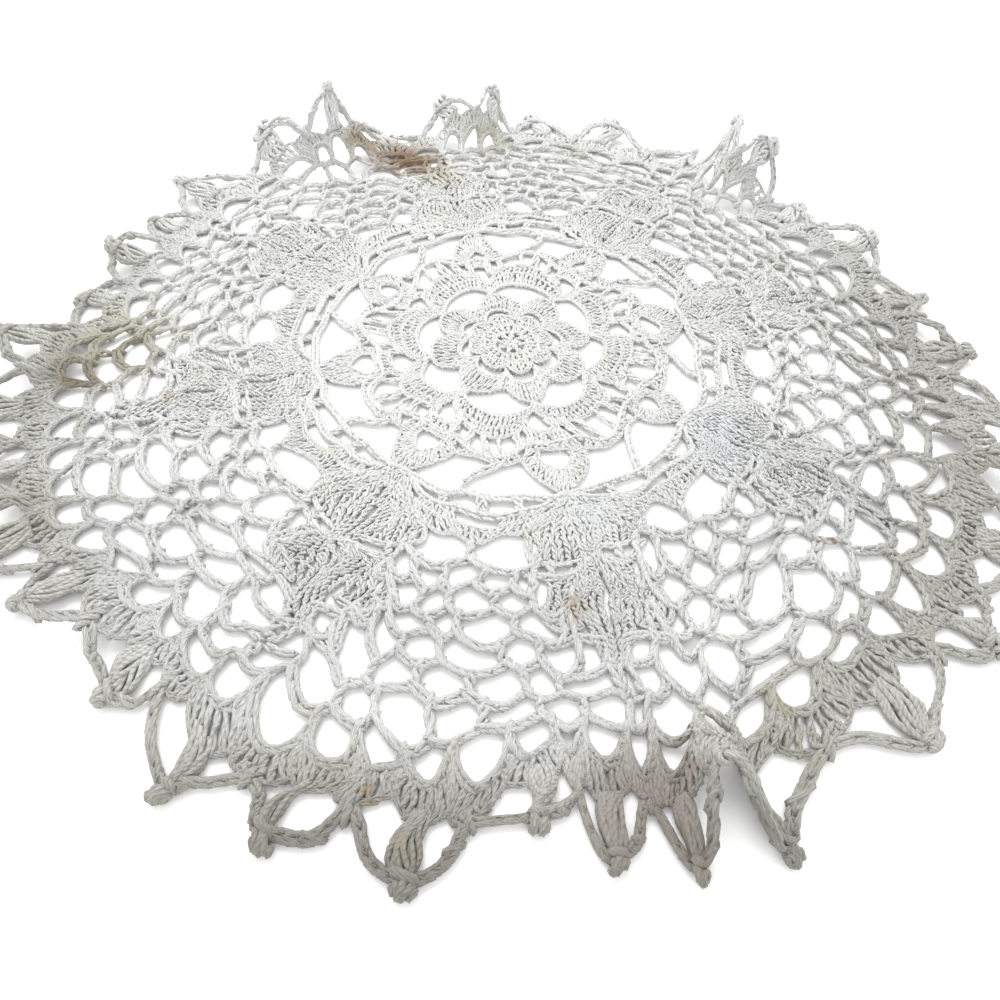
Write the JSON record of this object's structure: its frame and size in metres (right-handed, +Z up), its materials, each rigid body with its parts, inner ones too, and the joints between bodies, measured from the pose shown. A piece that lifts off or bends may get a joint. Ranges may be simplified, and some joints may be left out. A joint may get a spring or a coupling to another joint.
{
  "type": "crocheted lace doily",
  "caption": "Round crocheted cotton lace doily with a rose centre, leaf sprays, chain-loop net and a ruffled shell border, lying on a surface.",
  "frame": {"origin": "under the middle of the hub, on the surface that the doily lies on", "axes": "+Z up from the surface through the cloth; -Y towards the viewer of the picture"},
  "size_m": [0.2933, 0.2887, 0.0298],
  "materials": {
    "cotton": "matte mercerised cotton thread, ivory grey with age stains"
  },
  "bodies": {
    "root": {"lace_doily": "cotton"}
  },
  "joints": []
}
